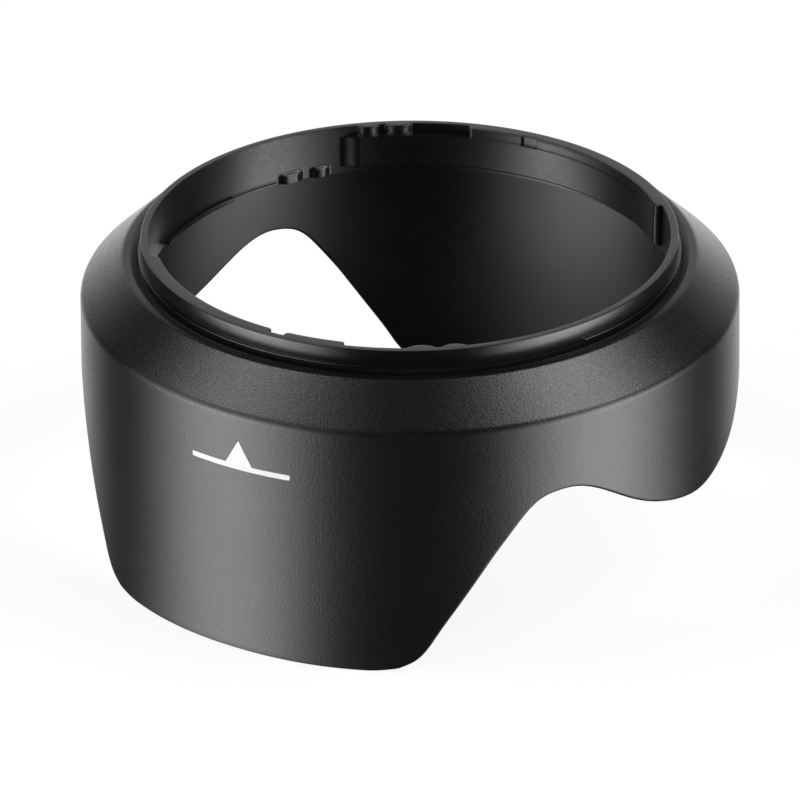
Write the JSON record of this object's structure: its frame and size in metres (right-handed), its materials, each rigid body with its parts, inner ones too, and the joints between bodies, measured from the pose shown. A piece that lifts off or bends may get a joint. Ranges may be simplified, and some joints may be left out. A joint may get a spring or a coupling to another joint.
{
  "type": "lens hood",
  "caption": "Petal-shaped bayonet lens hood: textured flared shell with scalloped front edge, glossy rear mount ring with bayonet lugs, and sprung click catches.",
  "frame": {"origin": "centre of the rear mount face, on the optical axis", "axes": "+Z along the optical axis, out of the rear mount face towards the lens; the petals hang towards -Z. +X and +Y lie in the mount face; the long petals are centred at 58.8 and 238.8 degrees from +X."},
  "size_m": [0.0766, 0.0776, 0.0363],
  "materials": {
    "shell_plastic": "black moulded plastic, fine spark-eroded texture outside, smooth satin inside",
    "ring_plastic": "black moulded plastic, semi-gloss band, satin rear face",
    "print_ink": "pad-printed white ink"
  },
  "bodies": {
    "hood": {"hood_shell": "shell_plastic", "mount_ring": "ring_plastic", "index_mark": "print_ink"},
    "catch_rear": {"click_catch_rear": "ring_plastic"},
    "catch_front": {"click_catch_front": "ring_plastic"}
  },
  "joints": [
    {"name": "catch_rear_flex", "type": "slide", "parent": "hood", "child": "catch_rear", "axis": [-0.0279, 0.9996, 0], "range_m": [0, 0.00035], "stiffness_N_per_m": 4},
    {"name": "catch_front_flex", "type": "slide", "parent": "hood", "child": "catch_front", "axis": [0.0279, -0.9996, 0], "range_m": [0, 0.00035], "stiffness_N_per_m": 4}
  ]
}
